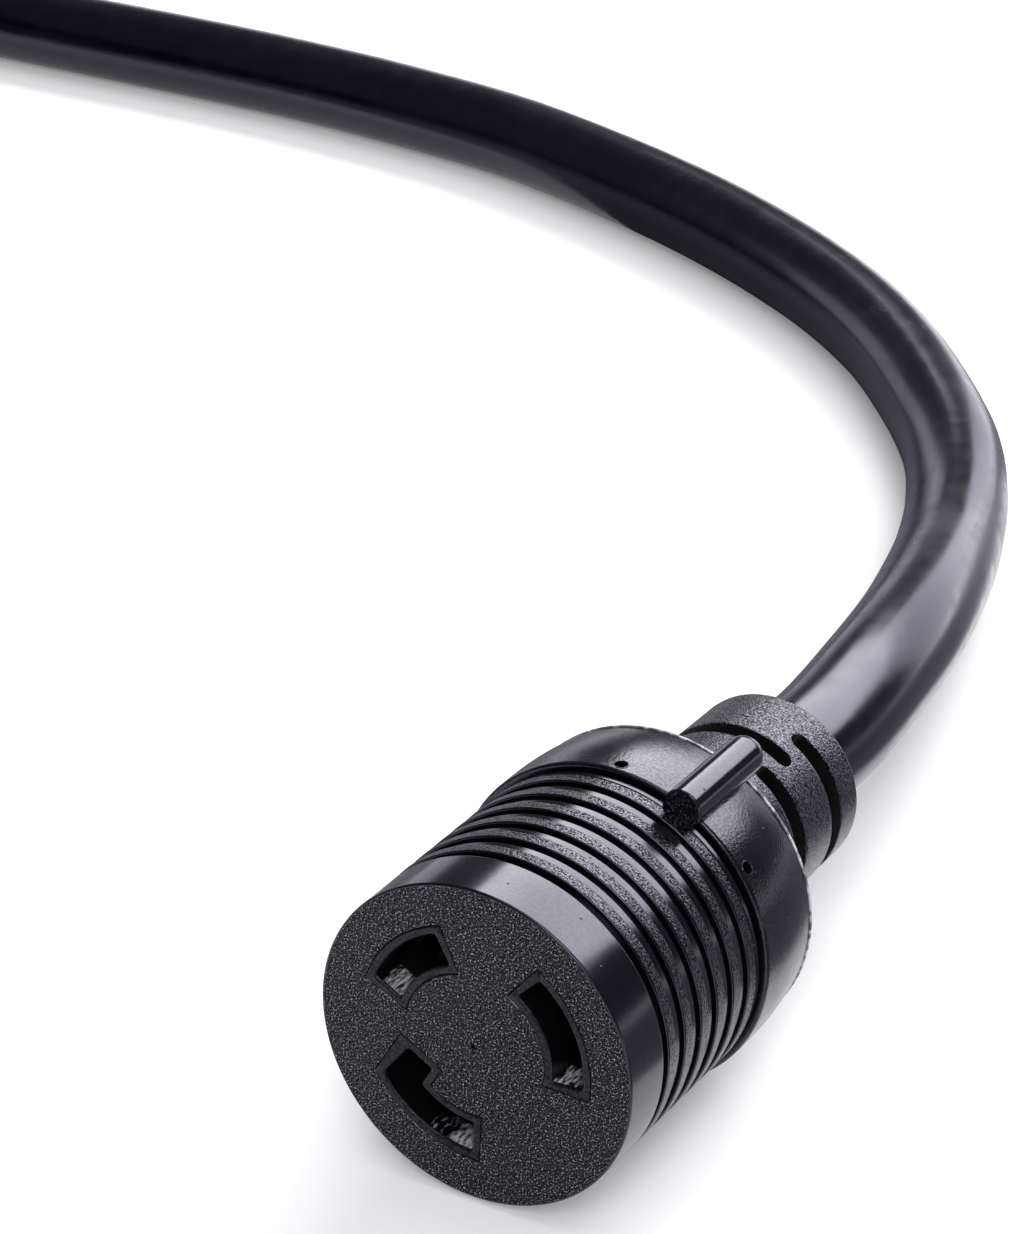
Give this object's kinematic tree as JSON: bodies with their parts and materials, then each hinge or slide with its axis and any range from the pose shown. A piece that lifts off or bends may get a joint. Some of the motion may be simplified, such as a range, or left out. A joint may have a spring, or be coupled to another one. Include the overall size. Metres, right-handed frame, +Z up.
{
  "type": "shore power cord",
  "caption": "Black moulded locking connector with grip ribs on a heavy round cord, coiled, with a moulded angle plug on its far end.",
  "frame": {"origin": "on the surface the connector lies on, under the middle of the connector and its strain relief", "axes": "+Y along the connector from its mating face to the cord, +Z up; the mating face looks along -Y"},
  "size_m": [0.643, 0.3622, 0.0515],
  "materials": {
    "black_pvc": "spark texture and polished bands",
    "cord_jacket": "semi-gloss",
    "dark_nylon": "satin",
    "brass": "bright",
    "copper": "bright",
    "black_insulation": "satin",
    "white_insulation": "satin",
    "green_insulation": "satin"
  },
  "bodies": {
    "root": {"connector_body": "black_pvc", "contact_carrier": "dark_nylon", "carrier_cap": "dark_nylon", "line_contact": "brass", "neutral_contact": "brass", "ground_contact": "brass", "connector_strands": "copper", "line_wire": "black_insulation", "neutral_wire": "white_insulation", "ground_wire": "green_insulation", "connector_jacket_end": "cord_jacket", "connector_relief": "black_pvc", "cord_lead": "cord_jacket", "cord_coil": "cord_jacket", "cord_tail": "cord_jacket", "plug_relief": "black_pvc", "plug_jacket_end": "cord_jacket", "plug_body": "black_pvc", "plug_core": "dark_nylon", "line_blade": "brass", "neutral_blade": "brass", "ground_pin": "brass", "plug_strands": "copper", "plug_line_wire": "black_insulation", "plug_neutral_wire": "white_insulation", "plug_ground_wire": "green_insulation"}
  },
  "joints": []
}
